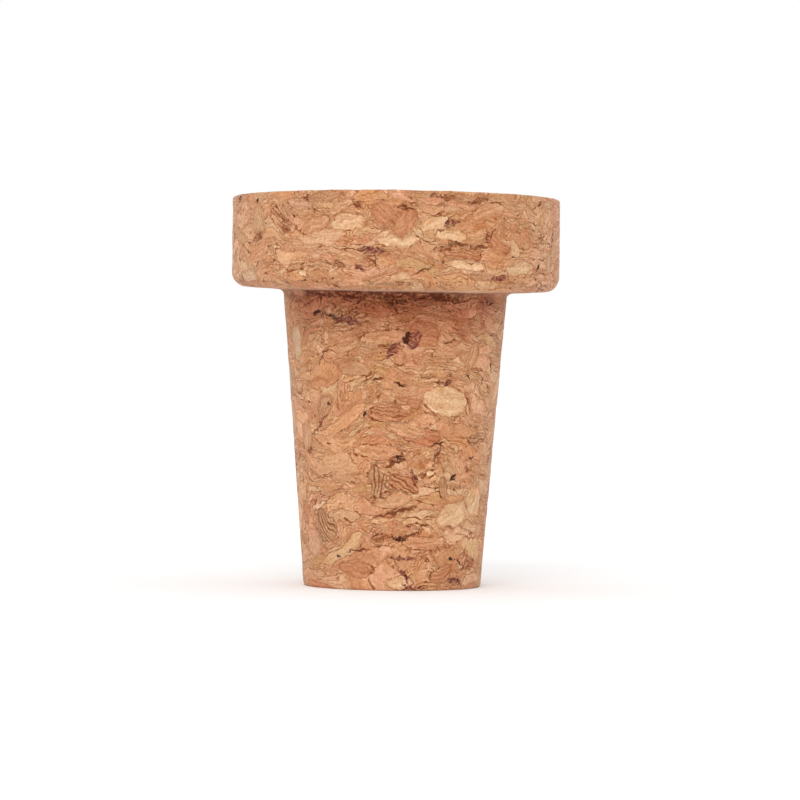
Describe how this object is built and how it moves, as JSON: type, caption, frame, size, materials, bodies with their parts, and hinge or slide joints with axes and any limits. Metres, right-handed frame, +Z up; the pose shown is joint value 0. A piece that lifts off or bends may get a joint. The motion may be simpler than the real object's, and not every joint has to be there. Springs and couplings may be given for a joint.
{
  "type": "cork stopper",
  "caption": "Pressed-cork stopper with a thick flat disc head and a tapered round shank that plugs the neck of a bottle, carafe or jar.",
  "frame": {"origin": "centre of the flat foot, at the bottom of the shank", "axes": "+Z up along the stopper's own axis, from the foot to the top of the head; the shape is round about Z, so X and Y are free, and -Y faces the viewer"},
  "size_m": [0.045, 0.045, 0.0532],
  "materials": {
    "cork": "sanded agglomerated cork, satin"
  },
  "bodies": {
    "root": {"stopper": "cork"}
  },
  "joints": []
}
